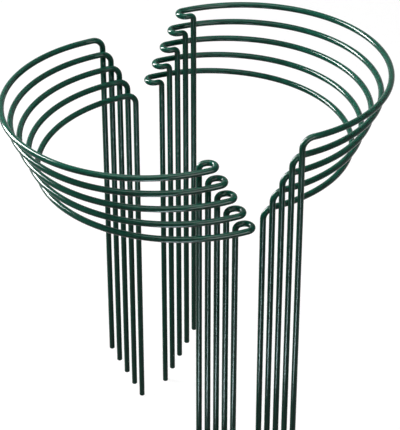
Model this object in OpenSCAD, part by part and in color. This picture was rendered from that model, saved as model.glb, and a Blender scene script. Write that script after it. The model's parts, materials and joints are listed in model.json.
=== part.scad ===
// Set of half-ring plant support stakes in two facing rows.
// Each stake is one bent steel wire in a green plastic coat: a plain leg, a half ring,
// a flat hairpin hook that slips over another stake's leg, and a second leg under the hook.
// The origin is midway between the rows, level with the lowest feet. +Z is up, and the two
// legs of a stake stand apart along Y.

/* [Ring and legs] */
// Outside width of one half ring, from leg side to leg side
ring_w = 290; // [200:5:400]
// Height of one stake, from its feet to the top of its ring
stake_h = 400; // [250:10:700]
// Bend between the plain leg and the ring, on the wire's middle line
corner_bend_r = 11; // [6:0.5:25]

/* [Coated wire] */
// Diameter of the steel core
core_d = 4.8; // [2.5:0.1:6]
// Thickness of the plastic coat
coat_t = 0.6; // [0.3:0.05:1.2]
// Thickness of the coat over the wire's cut end at a foot
foot_t = 1.2; // [0.6:0.1:4]
// Rounding of the coat's edge at a foot
foot_edge_r = 0.8; // [0.2:0.1:1.2]

/* [Hook] */
// Room left inside the hairpin around another stake's leg
hook_clear = 2.0; // [0.4:0.1:3]
// Straight wire between the ring's end and the hairpin turn
hook_reach = 1.5; // [0.5:0.5:20]
// Straight wire between the hairpin turn and the bend down into the leg
hook_return = 1.6; // [0.6:0.2:20]
// Bend from the hairpin down into its leg, on the wire's middle line
hook_bend_r = 4.6; // [4.4:0.1:12]

/* [Rows] */
// Stakes in each row
stakes_per_row = 5; // [1:1:7]
// Shift of each next stake towards the open side of its ring
open_step = 6.1; // [0:0.1:20]
// Free space between one stake's leg and the next stake's ring
leg_clear = 0.9; // [0.1:0.1:10]
// How much lower each next stake stands in the left row
left_drop = 14.2; // [10:0.1:40]
// How much lower each next stake stands in the right row
right_drop = 21.2; // [10:0.1:40]
// Free space between the two rows
middle_gap = 14; // [2:0.5:60]

/* [Hidden] */
$fn = 96;
// Free space between the core and the bore of its coat
bond_gap = 0.02;
quarter_turn = 90;
half_turn = 180;

core_r = core_d / 2;
wire_r = core_r + coat_t;
wire_d = 2 * wire_r;
ring_r = ring_w / 2 - wire_r;
ring_z = stake_h - wire_r;

// The hairpin's inside width is one leg and its clearance
hook_turn_r = (2 * wire_d + hook_clear) / 2;
hook_y = 2 * hook_turn_r - ring_r;
hook_bend_x = hook_reach - hook_return;
hook_leg_x = hook_bend_x - hook_bend_r;
plain_leg_top = ring_z - corner_bend_r;
hook_leg_top = ring_z - hook_bend_r;

leg_step = wire_d + leg_clear;
row_span = stakes_per_row - 1;
row_x = row_span * open_step + corner_bend_r + wire_r + middle_gap / 2;
row_y = row_span * leg_step / 2;

ROWS = ["left", "right"];
ROW_TURNS = [0, half_turn];
ROW_DROPS = [left_drop, right_drop];
LAYERS = ["core", "coat"];

function node_name(row, place, layer) = str(ROWS[row], "_stake_", place, "_", layer);

// Part of a torus: wire of radius r bent at radius bend_r about Z, from the X axis on
module bent_wire(bend_r, r, angle) {
    rotate_extrude(angle = angle)
        translate([bend_r, 0])
            circle(r);
}

// The same bend in the XZ plane, from the X axis up
module upright_bend(bend_r, r, from) {
    rotate([quarter_turn, 0, 0])
        rotate([0, 0, from])
            bent_wire(bend_r, r, quarter_turn);
}

// Straight wire of radius r along X
module straight_wire(length, r) {
    rotate([0, quarter_turn, 0])
        cylinder(h = length, r = r);
}

// Everything above the legs: corner, half ring, hairpin and the bend under it
module ring_and_hook(r) {
    translate([0, ring_r, plain_leg_top])
        upright_bend(corner_bend_r, r, 0);
    translate([0, 0, ring_z])
        rotate([0, 0, quarter_turn])
            bent_wire(ring_r, r, half_turn);
    translate([0, -ring_r, ring_z])
        straight_wire(hook_reach, r);
    translate([hook_reach, hook_turn_r - ring_r, ring_z])
        rotate([0, 0, -quarter_turn])
            bent_wire(hook_turn_r, r, half_turn);
    translate([hook_bend_x, hook_y, ring_z])
        straight_wire(hook_return, r);
    translate([hook_bend_x, hook_y, hook_leg_top])
        upright_bend(hook_bend_r, r, quarter_turn);
}

// Both legs as cut wire, from the height low up to the bends
module cut_legs(r, low) {
    translate([corner_bend_r, ring_r, low])
        cylinder(h = plain_leg_top - low, r = r);
    translate([hook_leg_x, hook_y, low])
        cylinder(h = hook_leg_top - low, r = r);
}

// One coated leg with its rounded foot, standing on the ground line
module footed_leg(top) {
    rotate_extrude() {
        translate([0, foot_edge_r])
            square([wire_r, top - foot_edge_r]);
        square([wire_r - foot_edge_r, top]);
        translate([wire_r - foot_edge_r, foot_edge_r])
            circle(foot_edge_r);
    }
}

module footed_legs() {
    translate([corner_bend_r, ring_r, 0])
        footed_leg(plain_leg_top);
    translate([hook_leg_x, hook_y, 0])
        footed_leg(hook_leg_top);
}

// Bent steel wire inside the coat
module core() {
    color("silver") {
        ring_and_hook(core_r);
        cut_legs(core_r, foot_t);
    }
}

// Plastic coat round the whole wire, closed over both feet
module coat() {
    color("#0d4a3a")
        difference() {
            union() {
                ring_and_hook(wire_r);
                footed_legs();
            }
            ring_and_hook(core_r + bond_gap);
            cut_legs(core_r + bond_gap, foot_t - bond_gap);
        }
}

// Puts a stake in its place: each next one lower, past the leg of the one before
module placed(row, place) {
    passed = place - 1;
    rotate([0, 0, ROW_TURNS[row]])
        translate([
            passed * open_step - row_x,
            row_y - passed * leg_step,
            (stakes_per_row - place) * ROW_DROPS[row]
        ])
            children();
}

for (row = [0:1], place = [1:stakes_per_row]) {
    placed(row, place) core();
    placed(row, place) coat();
}
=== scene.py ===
"""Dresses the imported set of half-ring plant support stakes and stands it on a pale studio floor.

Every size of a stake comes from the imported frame: the boxes of its coat and core, and the mounts of its
legs and hook eye.
"""

import json
import logging
import math
from dataclasses import dataclass
from enum import Enum

import bpy
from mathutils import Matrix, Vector

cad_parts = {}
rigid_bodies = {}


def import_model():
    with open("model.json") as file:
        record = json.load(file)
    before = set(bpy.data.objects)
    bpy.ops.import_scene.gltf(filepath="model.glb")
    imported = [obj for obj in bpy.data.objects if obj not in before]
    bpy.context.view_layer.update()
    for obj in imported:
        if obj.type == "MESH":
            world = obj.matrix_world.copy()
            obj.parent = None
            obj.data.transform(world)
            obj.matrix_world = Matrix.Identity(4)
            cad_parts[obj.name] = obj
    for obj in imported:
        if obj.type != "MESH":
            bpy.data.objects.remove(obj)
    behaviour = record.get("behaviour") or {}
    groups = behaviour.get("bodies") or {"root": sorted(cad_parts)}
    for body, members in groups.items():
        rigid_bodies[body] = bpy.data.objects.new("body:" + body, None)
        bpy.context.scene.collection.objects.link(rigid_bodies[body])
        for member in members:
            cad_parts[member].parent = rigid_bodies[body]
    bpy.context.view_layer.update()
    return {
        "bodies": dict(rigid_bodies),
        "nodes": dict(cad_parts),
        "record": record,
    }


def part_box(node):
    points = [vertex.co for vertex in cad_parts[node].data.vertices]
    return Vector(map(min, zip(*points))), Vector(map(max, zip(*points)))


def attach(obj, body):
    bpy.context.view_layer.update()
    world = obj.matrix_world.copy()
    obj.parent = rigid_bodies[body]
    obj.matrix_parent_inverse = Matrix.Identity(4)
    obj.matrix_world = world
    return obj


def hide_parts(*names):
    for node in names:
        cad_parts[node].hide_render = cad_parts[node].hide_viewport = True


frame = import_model()

LOG = logging.getLogger("stakes")
MM = 0.001
QUARTER_TURN = 90.0
HALF_TURN = 180.0
UP = Vector((0, 0, 1))
WHITE = (1.0, 1.0, 1.0, 1.0)
WIRE_COORDINATES = "wire_co"


class Row(Enum):
    """The two facing rows of the set. The value is the side that a ring bulges to along X."""

    LEFT = -1
    RIGHT = 1


class Layer(Enum):
    """The two pieces of a stake, named as their CAD nodes end."""

    CORE = "core"
    COAT = "coat"


class Slot(Enum):
    """The record's material slots."""

    COAT = "green_coat"
    CORE = "steel_core"


def link(tree: bpy.types.NodeTree, source: bpy.types.NodeSocket, target: bpy.types.NodeSocket) -> None:
    """Joins two sockets of a node tree."""
    tree.links.new(source, target)


def math_node(
    tree: bpy.types.NodeTree,
    operation: str,
    first: bpy.types.NodeSocket | float,
    second: bpy.types.NodeSocket | float = 0.0,
    clamp: bool = False,
) -> bpy.types.NodeSocket:
    """Adds a Math node.

    Args:
        tree: the node tree that gets the node.
        operation: the node's operation, such as "ADD".
        first: a socket or a number for the first input.
        second: a socket or a number for the second input.
        clamp: whether the result is held between 0 and 1.

    Returns:
        The node's output socket.
    """
    node = tree.nodes.new("ShaderNodeMath")
    node.operation = operation
    node.use_clamp = clamp
    for socket, value in zip(node.inputs, (first, second)):
        if isinstance(value, bpy.types.NodeSocket):
            link(tree, value, socket)
        else:
            socket.default_value = value
    return node.outputs[0]


def object_from_mesh(name: str, mesh: bpy.types.Mesh) -> bpy.types.Object:
    """Links a new object into the scene.

    Args:
        name: the object's name.
        mesh: its mesh.

    Returns:
        The object, at the origin.
    """
    made = bpy.data.objects.new(name, mesh)
    bpy.context.scene.collection.objects.link(made)
    return made


@dataclass(frozen=True)
class LengthwiseGrain:
    """Faint lines along a drawn or extruded wire, with patches where they are stronger.

    The shader group has the inputs Coordinates, Line Scale, Stretch and Patch Scale, and puts out
    a Lines mask and a Patches mask, each from 0 to 1.
    """

    name: str = "lengthwise_grain"
    line_detail: float = 3.0
    patch_detail: float = 2.0

    def group(self) -> bpy.types.ShaderNodeTree:
        """Builds the shader group, or returns the one that exists.

        Returns:
            The node group.
        """
        made = bpy.data.node_groups.get(self.name)
        if made:
            return made
        tree = bpy.data.node_groups.new(self.name, "ShaderNodeTree")
        sockets = tree.interface
        sockets.new_socket("Coordinates", in_out="INPUT", socket_type="NodeSocketVector")
        for words in ("Line Scale", "Stretch", "Patch Scale"):
            sockets.new_socket(words, in_out="INPUT", socket_type="NodeSocketFloat")
        for words in ("Lines", "Patches"):
            sockets.new_socket(words, in_out="OUTPUT", socket_type="NodeSocketFloat")
        given = tree.nodes.new("NodeGroupInput")
        result = tree.nodes.new("NodeGroupOutput")

        # Z runs along the wire, and only Z is stretched
        flatten = tree.nodes.new("ShaderNodeCombineXYZ")
        flatten.inputs["X"].default_value = 1.0
        flatten.inputs["Y"].default_value = 1.0
        link(tree, given.outputs["Stretch"], flatten.inputs["Z"])
        stretched = tree.nodes.new("ShaderNodeVectorMath")
        stretched.operation = "MULTIPLY"
        link(tree, given.outputs["Coordinates"], stretched.inputs[0])
        link(tree, flatten.outputs[0], stretched.inputs[1])

        lines = tree.nodes.new("ShaderNodeTexNoise")
        lines.inputs["Detail"].default_value = self.line_detail
        link(tree, stretched.outputs[0], lines.inputs["Vector"])
        link(tree, given.outputs["Line Scale"], lines.inputs["Scale"])
        patches = tree.nodes.new("ShaderNodeTexNoise")
        patches.inputs["Detail"].default_value = self.patch_detail
        link(tree, given.outputs["Coordinates"], patches.inputs["Vector"])
        link(tree, given.outputs["Patch Scale"], patches.inputs["Scale"])

        link(tree, lines.outputs["Fac"], result.inputs["Lines"])
        link(tree, patches.outputs["Fac"], result.inputs["Patches"])
        return tree

    def place(
        self,
        tree: bpy.types.NodeTree,
        coordinates: bpy.types.NodeSocket,
        line_scale: float,
        stretch: float,
        patch_scale: float,
    ) -> bpy.types.Node:
        """Puts the group into a material.

        Args:
            tree: the material's node tree.
            coordinates: the socket with the surface coordinates, in metres.
            line_scale: lines per metre across the wire.
            stretch: share of the line scale that is left along the wire.
            patch_scale: patches per metre.

        Returns:
            The group node.
        """
        node = tree.nodes.new("ShaderNodeGroup")
        node.node_tree = self.group()
        link(tree, coordinates, node.inputs["Coordinates"])
        node.inputs["Line Scale"].default_value = line_scale
        node.inputs["Stretch"].default_value = stretch
        node.inputs["Patch Scale"].default_value = patch_scale
        return node


def ramp(
    tree: bpy.types.NodeTree, value: bpy.types.NodeSocket, low: float, high: float
) -> bpy.types.NodeSocket:
    """Spreads a mask over a range.

    Args:
        tree: the material's node tree.
        value: the mask, from 0 to 1.
        low: the result where the mask is 0.
        high: the result where the mask is 1.

    Returns:
        The output socket of the Map Range node.
    """
    node = tree.nodes.new("ShaderNodeMapRange")
    node.inputs["To Min"].default_value = low
    node.inputs["To Max"].default_value = high
    link(tree, value, node.inputs["Value"])
    return node.outputs["Result"]


def blend(
    tree: bpy.types.NodeTree,
    mask: bpy.types.NodeSocket,
    first: tuple[float, float, float, float],
    second: tuple[float, float, float, float],
) -> bpy.types.NodeSocket:
    """Blends two colours by a mask.

    Args:
        tree: the material's node tree.
        mask: the mask, from 0 to 1.
        first: the colour where the mask is 0.
        second: the colour where the mask is 1.

    Returns:
        The socket with the blended colour.
    """
    node = tree.nodes.new("ShaderNodeMix")
    node.data_type = "RGBA"
    node.inputs["A"].default_value = first
    node.inputs["B"].default_value = second
    link(tree, mask, node.inputs["Factor"])
    return node.outputs["Result"]


@dataclass(frozen=True)
class CoatFinish:
    """Glossy bottle-green plastic, extruded over the wire: smooth, with faint lengthwise lines."""

    name: str = "bottle_green_coat"
    deep: tuple[float, float, float, float] = (0.0013, 0.045, 0.0275, 1.0)
    lit: tuple[float, float, float, float] = (0.0020, 0.073, 0.0440, 1.0)
    specular: float = 0.1
    smooth: float = 0.10
    dull: float = 0.16
    line_scale: float = 1400.0
    line_stretch: float = 0.02
    patch_scale: float = 45.0
    wave_scale: float = 320.0
    wave_stretch: float = 0.08
    bump_height: float = 0.004 * MM
    bump_strength: float = 0.06

    def material(self, grain: LengthwiseGrain) -> bpy.types.Material:
        """Builds the coat's material.

        Args:
            grain: the shared lengthwise grain.

        Returns:
            The material.
        """
        made = bpy.data.materials.new(self.name)
        made.use_nodes = True
        tree = made.node_tree
        shader = tree.nodes["Principled BSDF"]
        shader.inputs["Specular IOR Level"].default_value = self.specular
        along = tree.nodes.new("ShaderNodeAttribute")
        along.attribute_name = WIRE_COORDINATES
        on_wire = along.outputs["Vector"]
        lines = grain.place(tree, on_wire, self.line_scale, self.line_stretch, self.patch_scale)
        patches = lines.outputs["Patches"]
        link(tree, blend(tree, patches, self.deep, self.lit), shader.inputs["Base Color"])
        link(tree, ramp(tree, patches, self.smooth, self.dull), shader.inputs["Roughness"])

        waves = grain.place(tree, on_wire, self.wave_scale, self.wave_stretch, self.patch_scale)
        height = math_node(tree, "ADD", lines.outputs["Lines"], waves.outputs["Lines"])
        bump = tree.nodes.new("ShaderNodeBump")
        bump.inputs["Strength"].default_value = self.bump_strength
        bump.inputs["Distance"].default_value = self.bump_height
        link(tree, height, bump.inputs["Height"])
        link(tree, bump.outputs["Normal"], shader.inputs["Normal"])
        return made


@dataclass(frozen=True)
class CoreFinish:
    """Bright drawn steel wire with fine drawing marks."""

    name: str = "drawn_steel_core"
    bright: tuple[float, float, float, float] = (0.60, 0.60, 0.59, 1.0)
    grey: tuple[float, float, float, float] = (0.42, 0.42, 0.41, 1.0)
    metallic: float = 1.0
    smooth: float = 0.22
    dull: float = 0.42
    line_scale: float = 2200.0
    line_stretch: float = 0.05
    patch_scale: float = 120.0

    def material(self, grain: LengthwiseGrain) -> bpy.types.Material:
        """Builds the core's material.

        Args:
            grain: the shared lengthwise grain.

        Returns:
            The material.
        """
        made = bpy.data.materials.new(self.name)
        made.use_nodes = True
        tree = made.node_tree
        shader = tree.nodes["Principled BSDF"]
        shader.inputs["Metallic"].default_value = self.metallic
        place = tree.nodes.new("ShaderNodeTexCoord").outputs["Object"]
        marks = grain.place(tree, place, self.line_scale, self.line_stretch, self.patch_scale)
        tint = blend(tree, marks.outputs["Patches"], self.grey, self.bright)
        link(tree, tint, shader.inputs["Base Color"])
        link(tree, ramp(tree, marks.outputs["Lines"], self.smooth, self.dull), shader.inputs["Roughness"])
        return made


@dataclass(frozen=True)
class WireSweep:
    """Geometry Nodes tree that sweeps a hollow coat along a path and rounds both closed ends."""

    name: str = "wire_sweep"
    sides: int = 32
    profile_name: str = "profile"
    along_name: str = "along"

    def tree(self) -> bpy.types.GeometryNodeTree:
        """Builds the tree, or returns the one that exists.

        Returns:
            The tree, with the inputs Wire Radius, End Rounding, Bore Radius, End Wall, Sides and Finish.
        """
        made = bpy.data.node_groups.get(self.name)
        if made:
            return made
        tree = bpy.data.node_groups.new(self.name, "GeometryNodeTree")
        tree.is_modifier = True
        sockets = tree.interface
        sockets.new_socket("Geometry", in_out="INPUT", socket_type="NodeSocketGeometry")
        for words in ("Wire Radius", "End Rounding", "Bore Radius", "End Wall"):
            sockets.new_socket(words, in_out="INPUT", socket_type="NodeSocketFloat")
        sockets.new_socket("Sides", in_out="INPUT", socket_type="NodeSocketInt")
        sockets.new_socket("Finish", in_out="INPUT", socket_type="NodeSocketMaterial")
        sockets.new_socket("Geometry", in_out="OUTPUT", socket_type="NodeSocketGeometry")
        given = tree.nodes.new("NodeGroupInput")
        result = tree.nodes.new("NodeGroupOutput")

        along = tree.nodes.new("GeometryNodeSplineParameter").outputs["Length"]
        path = self.store(tree, given.outputs["Geometry"], self.along_name, "FLOAT", along)
        sides = given.outputs["Sides"]
        outside = self.tube(tree, path, given.outputs["Wire Radius"], sides)
        share = self.end_share(tree, along, given.outputs["Wire Radius"], given.outputs["End Rounding"])
        link(tree, share, outside.inputs["Scale"])
        core_path = self.shortened(tree, path, given.outputs["End Wall"])
        bore = self.tube(tree, core_path, given.outputs["Bore Radius"], sides)
        inward = tree.nodes.new("GeometryNodeFlipFaces")
        link(tree, bore.outputs["Mesh"], inward.inputs["Mesh"])
        hollow = tree.nodes.new("GeometryNodeJoinGeometry")
        link(tree, inward.outputs["Mesh"], hollow.inputs["Geometry"])
        link(tree, outside.outputs["Mesh"], hollow.inputs["Geometry"])

        made_mesh = self.store_wire_coordinates(tree, hollow.outputs["Geometry"])
        smooth = tree.nodes.new("GeometryNodeSetShadeSmooth")
        realize = tree.nodes.new("GeometryNodeRealizeInstances")
        finish = tree.nodes.new("GeometryNodeSetMaterial")
        link(tree, made_mesh, smooth.inputs["Geometry"])
        link(tree, smooth.outputs["Geometry"], realize.inputs["Geometry"])
        link(tree, realize.outputs["Geometry"], finish.inputs["Geometry"])
        link(tree, given.outputs["Finish"], finish.inputs["Material"])
        link(tree, finish.outputs["Geometry"], result.inputs["Geometry"])
        return tree

    def tube(
        self,
        tree: bpy.types.NodeTree,
        path: bpy.types.NodeSocket,
        radius: bpy.types.NodeSocket,
        sides: bpy.types.NodeSocket,
    ) -> bpy.types.Node:
        """Adds the nodes that sweep a closed round tube along a path.

        Args:
            tree: the tree that gets the nodes.
            path: the path.
            radius: the tube's radius.
            sides: how many sides it has.

        Returns:
            The sweeping node.
        """
        circle = tree.nodes.new("GeometryNodeCurvePrimitiveCircle")
        link(tree, sides, circle.inputs["Resolution"])
        link(tree, radius, circle.inputs["Radius"])
        place = tree.nodes.new("GeometryNodeInputPosition").outputs["Position"]
        profile = self.store(tree, circle.outputs["Curve"], self.profile_name, "FLOAT_VECTOR", place)
        sweep = tree.nodes.new("GeometryNodeCurveToMesh")
        sweep.inputs["Fill Caps"].default_value = True
        link(tree, path, sweep.inputs["Curve"])
        link(tree, profile, sweep.inputs["Profile Curve"])
        return sweep

    @staticmethod
    def shortened(
        tree: bpy.types.NodeTree, path: bpy.types.NodeSocket, cut: bpy.types.NodeSocket
    ) -> bpy.types.NodeSocket:
        """Adds the nodes that cut the same length off both ends of a path.

        Args:
            tree: the tree that gets the nodes.
            path: the path.
            cut: the length cut off.

        Returns:
            The socket with the shorter path.
        """
        trim = tree.nodes.new("GeometryNodeTrimCurve")
        trim.mode = "LENGTH"
        total = tree.nodes.new("GeometryNodeSplineLength").outputs["Length"]
        # The two lengths share their names with two factors, so identifiers tell them apart
        ends = {socket.identifier: socket for socket in trim.inputs}
        link(tree, path, trim.inputs["Curve"])
        link(tree, cut, ends["Start_001"])
        link(tree, math_node(tree, "SUBTRACT", total, cut), ends["End_001"])
        return trim.outputs["Curve"]

    @staticmethod
    def store(
        tree: bpy.types.NodeTree,
        geometry: bpy.types.NodeSocket,
        name: str,
        data_type: str,
        value: bpy.types.NodeSocket,
    ) -> bpy.types.NodeSocket:
        """Adds a node that stores a point attribute.

        Args:
            tree: the tree that gets the node.
            geometry: the geometry that carries the attribute.
            name: the attribute's name.
            data_type: "FLOAT" or "FLOAT_VECTOR".
            value: the socket with the value.

        Returns:
            The geometry socket after the node.
        """
        node = tree.nodes.new("GeometryNodeStoreNamedAttribute")
        node.data_type = data_type
        node.domain = "POINT"
        node.inputs["Name"].default_value = name
        link(tree, geometry, node.inputs["Geometry"])
        link(tree, value, node.inputs["Value"])
        return node.outputs["Geometry"]

    @staticmethod
    def end_share(
        tree: bpy.types.NodeTree,
        along: bpy.types.NodeSocket,
        radius: bpy.types.NodeSocket,
        rounding: bpy.types.NodeSocket,
    ) -> bpy.types.NodeSocket:
        """Works out the share of the full radius that a point near a closed end has.

        Args:
            tree: the tree that gets the nodes.
            along: length along the path.
            radius: the wire's radius.
            rounding: the radius of the rounded edge.

        Returns:
            The socket with the share, 1 away from the ends.
        """
        total = tree.nodes.new("GeometryNodeSplineLength").outputs["Length"]
        from_end = math_node(tree, "MINIMUM", along, math_node(tree, "SUBTRACT", total, along))
        inward = math_node(tree, "DIVIDE", from_end, rounding, clamp=True)
        cosine = math_node(tree, "SUBTRACT", 1.0, inward)
        square = math_node(tree, "MULTIPLY", cosine, cosine)
        sine = math_node(tree, "SQRT", math_node(tree, "SUBTRACT", 1.0, square))
        lost = math_node(tree, "MULTIPLY", rounding, math_node(tree, "SUBTRACT", 1.0, sine))
        return math_node(tree, "DIVIDE", math_node(tree, "SUBTRACT", radius, lost), radius)

    def store_wire_coordinates(
        self, tree: bpy.types.NodeTree, mesh: bpy.types.NodeSocket
    ) -> bpy.types.NodeSocket:
        """Stores, on each point, its place on the straightened wire, in metres.

        Args:
            tree: the tree that gets the nodes.
            mesh: the swept mesh, with the attributes of its profile and path.

        Returns:
            The mesh socket after the nodes.
        """
        across = tree.nodes.new("GeometryNodeInputNamedAttribute")
        across.data_type = "FLOAT_VECTOR"
        across.inputs["Name"].default_value = self.profile_name
        along = tree.nodes.new("GeometryNodeInputNamedAttribute")
        along.data_type = "FLOAT"
        along.inputs["Name"].default_value = self.along_name
        upward = tree.nodes.new("ShaderNodeCombineXYZ")
        link(tree, along.outputs["Attribute"], upward.inputs["Z"])
        total = tree.nodes.new("ShaderNodeVectorMath")
        link(tree, across.outputs["Attribute"], total.inputs[0])
        link(tree, upward.outputs[0], total.inputs[1])
        geometry = self.store(tree, mesh, WIRE_COORDINATES, "FLOAT_VECTOR", total.outputs[0])
        for name in (self.profile_name, self.along_name):
            remove = tree.nodes.new("GeometryNodeRemoveAttribute")
            remove.inputs["Name"].default_value = name
            link(tree, geometry, remove.inputs["Geometry"])
            geometry = remove.outputs["Geometry"]
        return geometry

    def mesh(
        self,
        name: str,
        points: list[Vector],
        radius: float,
        rounding: float,
        bore: float,
        end_wall: float,
        material: bpy.types.Material,
    ) -> bpy.types.Mesh:
        """Sweeps a coat and returns it as a plain mesh.

        Args:
            name: the mesh's name.
            points: the path, in the row frame.
            radius: the coat's outer radius.
            rounding: the radius of the rounded edge at both closed ends.
            bore: the radius of the hollow for the core.
            end_wall: the coat's thickness over the core's ends.
            material: the finish.

        Returns:
            The mesh, with the wire coordinates on its points.
        """
        path = bpy.data.curves.new(name + "_path", "CURVE")
        path.dimensions = "3D"
        spline = path.splines.new("POLY")
        spline.points.add(len(points) - 1)
        for knot, point in zip(spline.points, points):
            knot.co = (*point, 1.0)
        carrier = bpy.data.objects.new(name + "_path", path)
        bpy.context.scene.collection.objects.link(carrier)
        modifier = carrier.modifiers.new(self.name, "NODES")
        modifier.node_group = self.tree()
        values = {
            "Wire Radius": radius,
            "End Rounding": rounding,
            "Bore Radius": bore,
            "End Wall": end_wall,
            "Sides": self.sides,
            "Finish": material,
        }
        for socket in modifier.node_group.interface.items_tree:
            if socket.in_out == "INPUT" and socket.name in values:
                modifier[socket.identifier] = values[socket.name]
        graph = bpy.context.evaluated_depsgraph_get()
        made = bpy.data.meshes.new_from_object(carrier.evaluated_get(graph), depsgraph=graph)
        made.name = name
        carrier.modifiers.remove(modifier)
        bpy.data.objects.remove(carrier)
        bpy.data.curves.remove(path)
        return made


@dataclass(frozen=True)
class Stake:
    """One stake of the set, with its sizes read from the frame.

    Points of its wire are given in the stake's own frame: the ring's centre is the origin, the feet
    are at height 0, the ring bulges to -X, and the plain leg is on the +Y side.
    """

    row: Row
    place: int
    origin: Vector
    wire_r: float
    core_r: float
    end_wall: float
    ring_r: float
    ring_z: float
    corner_r: float
    foot_edge: float
    hook_reach: float
    turn_r: float
    hook_bend_r: float
    hook_leg: Vector
    bore_gap: float = 0.05 * MM
    ring_steps: int = 120
    turn_steps: int = 28
    bend_steps: int = 14
    foot_steps: int = 6
    leg_steps: int = 16

    @classmethod
    def from_frame(cls, row: Row, place: int) -> "Stake":
        """Reads a stake's sizes from the boxes of its coat and core and from its mounts.

        Args:
            row: the row it stands in.
            place: its number in the row, 1 for the highest.

        Returns:
            The stake.
        """
        stem = f"{row.name.lower()}_stake_{place}"
        low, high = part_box(f"{stem}_{Layer.COAT.value}")
        core_low, core_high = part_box(f"{stem}_{Layer.CORE.value}")
        mounts = {mount["name"]: mount for mount in frame["record"]["mounts"]}
        plain = mounts[f"{stem}_plain_leg"]
        hook = mounts[f"{stem}_hook_leg"]
        eye = Vector(mounts[f"{stem}_hook_eye"]["pos_m"])
        wire_r = plain["dims"]["r_mm"] * MM
        ring_z = high.z - low.z - wire_r
        ring_r = (high.y - low.y) / 2 - wire_r
        plain_half = plain["dims"]["length_mm"] * MM / 2
        plain_top = plain["pos_m"][2] + plain_half - low.z
        hook_top = hook["pos_m"][2] + hook["dims"]["length_mm"] * MM / 2 - low.z
        corner_r = ring_z - plain_top
        middle_x = plain["pos_m"][0] + row.value * corner_r
        origin = Vector((middle_x, (low.y + high.y) / 2, low.z))
        turned = -row.value
        to_hook = turned * (Vector(hook["pos_m"]) - origin)
        return cls(
            row=row,
            place=place,
            origin=origin,
            wire_r=wire_r,
            core_r=wire_r - (high.z - core_high.z),
            end_wall=core_low.z - low.z,
            ring_r=ring_r,
            ring_z=ring_z,
            corner_r=corner_r,
            foot_edge=plain["pos_m"][2] - plain_half - low.z,
            hook_reach=turned * (eye.x - origin.x),
            turn_r=turned * (eye.y - origin.y) + ring_r,
            hook_bend_r=ring_z - hook_top,
            hook_leg=Vector((to_hook.x, to_hook.y, 0)),
        )

    @property
    def name(self) -> str:
        """The name of the stake's body."""
        return f"{self.row.name.lower()}_stake_{self.place}"

    def node(self, layer: Layer) -> str:
        """The name of one of the stake's CAD nodes."""
        return f"{self.name}_{layer.value}"

    def in_row(self, point: Vector) -> Vector:
        """Moves a point of the stake's own frame into the row frame."""
        turned = -self.row.value
        return self.origin + Vector((turned * point.x, turned * point.y, point.z))

    @staticmethod
    def arc(
        centre: Vector, first: Vector, second: Vector, start: float, stop: float, steps: int
    ) -> list[Vector]:
        """Points of an arc, without its first one.

        Args:
            centre: the arc's centre.
            first: the radius vector at the angle 0.
            second: the radius vector at the angle of 90 degrees.
            start: the first angle, in degrees.
            stop: the last angle, in degrees.
            steps: how many points there are.

        Returns:
            The points.
        """
        angles = [math.radians(start + (stop - start) * step / steps) for step in range(1, steps + 1)]
        return [centre + math.cos(angle) * first + math.sin(angle) * second for angle in angles]

    def leg(self, foot: Vector, top: float) -> list[Vector]:
        """Points up a leg, close together where the foot is rounded.

        Args:
            foot: the middle of the foot.
            top: the height where the leg ends.

        Returns:
            The points, from the foot to the top.
        """
        quarter = math.radians(QUARTER_TURN)
        heights = [
            self.foot_edge * (1 - math.cos(quarter * step / self.foot_steps))
            for step in range(self.foot_steps + 1)
        ]
        span = top - self.foot_edge
        heights += [self.foot_edge + span * step / self.leg_steps for step in range(1, self.leg_steps + 1)]
        return [foot + Vector((0, 0, height)) for height in heights]

    def centreline(self) -> list[Vector]:
        """Works out the wire's middle line in the row frame.

        Returns:
            The points, from the plain leg's foot to the hook leg's foot.
        """
        forward, side = Vector((1, 0, 0)), Vector((0, 1, 0))
        plain_top = self.ring_z - self.corner_r
        hook_top = self.ring_z - self.hook_bend_r
        ring = self.ring_z * UP
        corner = Vector((0, self.ring_r, plain_top))
        turn = Vector((self.hook_reach, self.turn_r - self.ring_r, self.ring_z))
        bend = Vector((self.hook_leg.x + self.hook_bend_r, self.hook_leg.y, hook_top))
        arcs = {
            "corner": (corner, self.corner_r, UP, 0.0, QUARTER_TURN, self.bend_steps),
            "ring": (ring, self.ring_r, side, QUARTER_TURN, QUARTER_TURN + HALF_TURN, self.ring_steps),
            "turn": (turn, self.turn_r, side, -QUARTER_TURN, QUARTER_TURN, self.turn_steps),
            "bend": (bend, self.hook_bend_r, UP, QUARTER_TURN, HALF_TURN, self.bend_steps),
        }
        made = {
            name: self.arc(centre, radius * forward, radius * second, start, stop, steps)
            for name, (centre, radius, second, start, stop, steps) in arcs.items()
        }
        points = self.leg(Vector((self.corner_r, self.ring_r, 0)), plain_top)
        points += made["corner"] + made["ring"]
        # The straight wires before and after the hairpin turn end where its arc and the bend start
        points += [turn - self.turn_r * side] + made["turn"]
        points += [bend + self.hook_bend_r * UP] + made["bend"]
        # The hook leg runs down, and its top point is the bend's last
        points += self.leg(self.hook_leg, hook_top)[-2::-1]
        return [self.in_row(point) for point in points]

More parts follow.
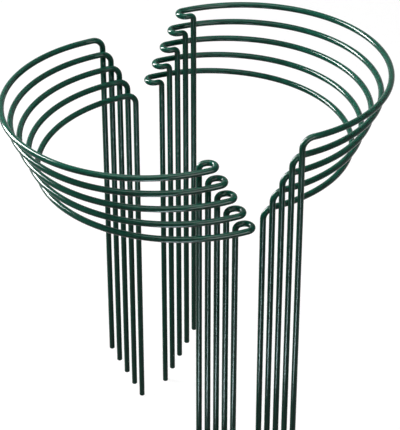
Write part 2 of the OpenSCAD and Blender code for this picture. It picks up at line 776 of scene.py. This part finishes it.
    def dress(self, sweep: WireSweep, finishes: dict[Slot, bpy.types.Material]) -> bpy.types.Object:
        """Builds the coat, puts it in place of its CAD node and finishes the core.

        Args:
            sweep: the tree that sweeps the wire.
            finishes: the material of each slot.

        Returns:
            The coat's object.
        """
        name = f"{self.name}_green_coat"
        mesh = sweep.mesh(
            name=name,
            points=self.centreline(),
            radius=self.wire_r,
            rounding=self.foot_edge,
            bore=self.core_r + self.bore_gap,
            end_wall=self.end_wall - self.bore_gap,
            material=finishes[Slot.COAT],
        )
        piece = object_from_mesh(name, mesh)
        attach(piece, self.name)
        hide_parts(self.node(Layer.COAT))
        steel = frame["nodes"][self.node(Layer.CORE)]
        steel.data.materials.clear()
        steel.data.materials.append(finishes[Slot.CORE])
        return piece


@dataclass(frozen=True)
class Panel:
    """A soft light: a rectangle that shines at the middle of the set, or straight up.

    Its place is given from the middle of the set, in metres towards the camera, to the right and up. Its
    brightness is given twice: as light on matt surfaces and as its gleam in gloss.
    """

    name: str
    front: float
    right: float
    up: float
    width: float
    height: float
    light: float = 0.0
    gleam: float = 0.0
    colour: tuple[float, float, float] = WHITE[:3]
    shines_up: bool = False

    def lamp(
        self, name: str, radiance: float, gleams: bool, place: Vector, aim: Vector
    ) -> bpy.types.Object:
        """Adds one lamp of the panel to the scene.

        Args:
            name: the lamp's name.
            radiance: its brightness.
            gleams: whether it shows in gloss and not on matt surfaces.
            place: where it is.
            aim: the point that it shines at.

        Returns:
            The lamp.
        """
        data = bpy.data.lights.new(name, "AREA")
        data.shape = "RECTANGLE"
        data.size = self.width
        data.size_y = self.height
        data.energy = radiance * math.pi * self.width * self.height
        data.color = self.colour
        data.cycles.use_multiple_importance_sampling = gleams
        made = bpy.data.objects.new(name, data)
        made.location = place
        made.rotation_euler = (aim - place).to_track_quat("-Z", "Y").to_euler()
        made.visible_camera = False
        made.visible_diffuse = not gleams
        made.visible_glossy = gleams
        bpy.context.scene.collection.objects.link(made)
        return made

    def build(self, place: Vector, aim: Vector) -> list[bpy.types.Object]:
        """Adds the panel's lamps to the scene.

        Args:
            place: where the panel is.
            aim: the point that it shines at.

        Returns:
            The lamps: one for matt surfaces, one for gloss, or both.
        """
        made = []
        if self.light > 0:
            made.append(self.lamp(f"{self.name}_light", self.light, False, place, aim))
        if self.gleam > 0:
            made.append(self.lamp(f"{self.name}_gleam", self.gleam, True, place, aim))
        return made


@dataclass(frozen=True)
class Studio:
    """White floor and surround, soft lights, and a camera at the photograph's angle."""

    floor_half: float = 20.0
    floor_white: float = 0.12
    floor_roughness: float = 1.0
    floor_specular: float = 0.0
    floor_lift: float = 0.92
    surround: float = 0.05
    elevation: float = 32.7
    azimuth: float = -25.0
    distance: float = 1.85
    aim: Vector = Vector((0.0035, -0.0016, 0.3190))
    image_width: int = 400
    focal_px: float = 1825.0
    sensor_width: float = 36.0
    middle: Vector = Vector((0, 0, 0.35))
    panels: tuple[Panel, ...] = (
        Panel("key", front=-0.4, right=-1.35, up=0.95, width=0.7, height=0.7, light=26.0),
        Panel("left", front=-0.66, right=-1.4, up=0.95, width=0.6, height=1.6, gleam=120.0),
        Panel("top", front=0.2, right=0.0, up=1.3, width=1.0, height=1.0, light=3.8, gleam=9.0),
        Panel("front", front=1.1, right=0.7, up=0.3, width=0.8, height=0.5, light=1.0, gleam=24.0),
        Panel(
            "low",
            front=0.62,
            right=0.05,
            up=-0.34,
            width=0.09,
            height=0.66,
            gleam=50.0,
            colour=(0.72, 0.95, 1.0),
            shines_up=True,
        ),
    )

    @staticmethod
    def seen_directly(tree: bpy.types.NodeTree) -> bpy.types.NodeSocket:
        """A mask that is 1 for what the camera, a gloss or a clear surface sees.

        Args:
            tree: the node tree that gets the nodes.

        Returns:
            The mask's socket.
        """
        path = tree.nodes.new("ShaderNodeLightPath")
        gloss = math_node(tree, "ADD", path.outputs["Is Glossy Ray"], path.outputs["Is Transmission Ray"])
        return math_node(tree, "ADD", path.outputs["Is Camera Ray"], gloss, clamp=True)

    def build_floor(self) -> bpy.types.Object:
        """Lays the floor under the lowest feet.

        Returns:
            The floor.
        """
        half = self.floor_half
        mesh = bpy.data.meshes.new("floor")
        corners = [(-half, -half, 0), (half, -half, 0), (half, half, 0), (-half, half, 0)]
        mesh.from_pydata(corners, [], [(0, 1, 2, 3)])
        material = bpy.data.materials.new("floor_white")
        material.use_nodes = True
        tree = material.node_tree
        shader = tree.nodes["Principled BSDF"]
        shader.inputs["Base Color"].default_value = (self.floor_white,) * 3 + (1.0,)
        shader.inputs["Roughness"].default_value = self.floor_roughness
        shader.inputs["Specular IOR Level"].default_value = self.floor_specular
        shader.inputs["Emission Color"].default_value = WHITE
        lift = math_node(tree, "MULTIPLY", self.seen_directly(tree), self.floor_lift)
        link(tree, lift, shader.inputs["Emission Strength"])
        mesh.materials.append(material)
        floor = object_from_mesh("floor", mesh)
        return floor

    def build_surround(self) -> None:
        """Gives the world a white look and an even, plain light."""
        world = bpy.data.worlds.new("surround")
        bpy.context.scene.world = world
        world.use_nodes = True
        tree = world.node_tree
        background = tree.nodes["Background"]
        background.inputs["Color"].default_value = WHITE
        strength = math_node(tree, "MULTIPLY", self.seen_directly(tree), 1.0 - self.surround)
        link(tree, math_node(tree, "ADD", strength, self.surround), background.inputs["Strength"])

    def direction(self) -> Vector:
        """The unit vector from the set to the camera."""
        lift, turn = math.radians(self.elevation), math.radians(self.azimuth)
        return Vector((math.cos(lift) * math.sin(turn), -math.cos(lift) * math.cos(turn), math.sin(lift)))

    def build_camera(self) -> bpy.types.Object:
        """Adds the camera and makes it the scene's own.

        Returns:
            The camera.
        """
        data = bpy.data.cameras.new("camera")
        data.sensor_fit = "HORIZONTAL"
        data.sensor_width = self.sensor_width
        data.lens = self.sensor_width * self.focal_px / self.image_width
        camera = bpy.data.objects.new("camera", data)
        camera.location = self.aim + self.distance * self.direction()
        camera.rotation_euler = (-self.direction()).to_track_quat("-Z", "Y").to_euler()
        bpy.context.scene.collection.objects.link(camera)
        bpy.context.scene.camera = camera
        return camera

    def build_lights(self) -> list[bpy.types.Object]:
        """Adds the soft lights.

        Returns:
            The lamps.
        """
        toward = self.direction()
        front = Vector((toward.x, toward.y, 0)).normalized()
        right = Vector((-front.y, front.x, 0))
        lamps = []
        for panel in self.panels:
            place = self.middle + panel.front * front + panel.right * right + panel.up * UP
            aim = place + UP if panel.shines_up else self.middle
            lamps += panel.build(place, aim)
        return lamps

    def build(self) -> None:
        """Builds the whole studio."""
        bpy.context.scene.view_settings.view_transform = "Standard"
        self.build_floor()
        self.build_surround()
        self.build_lights()
        self.build_camera()


def main() -> None:
    """Builds the studio, dresses each stake and reports it."""
    logging.basicConfig(level=logging.INFO, format="%(name)s: %(message)s")
    Studio().build()
    grain = LengthwiseGrain()
    finishes = {Slot.COAT: CoatFinish().material(grain), Slot.CORE: CoreFinish().material(grain)}
    sweep = WireSweep()
    places = len(frame["bodies"]) // len(Row)
    for row in Row:
        for place in range(1, places + 1):
            piece = Stake.from_frame(row, place).dress(sweep, finishes)
            LOG.info("%s: %d faces", piece.name, len(piece.data.polygons))


if __name__ == "__main__":
    main()
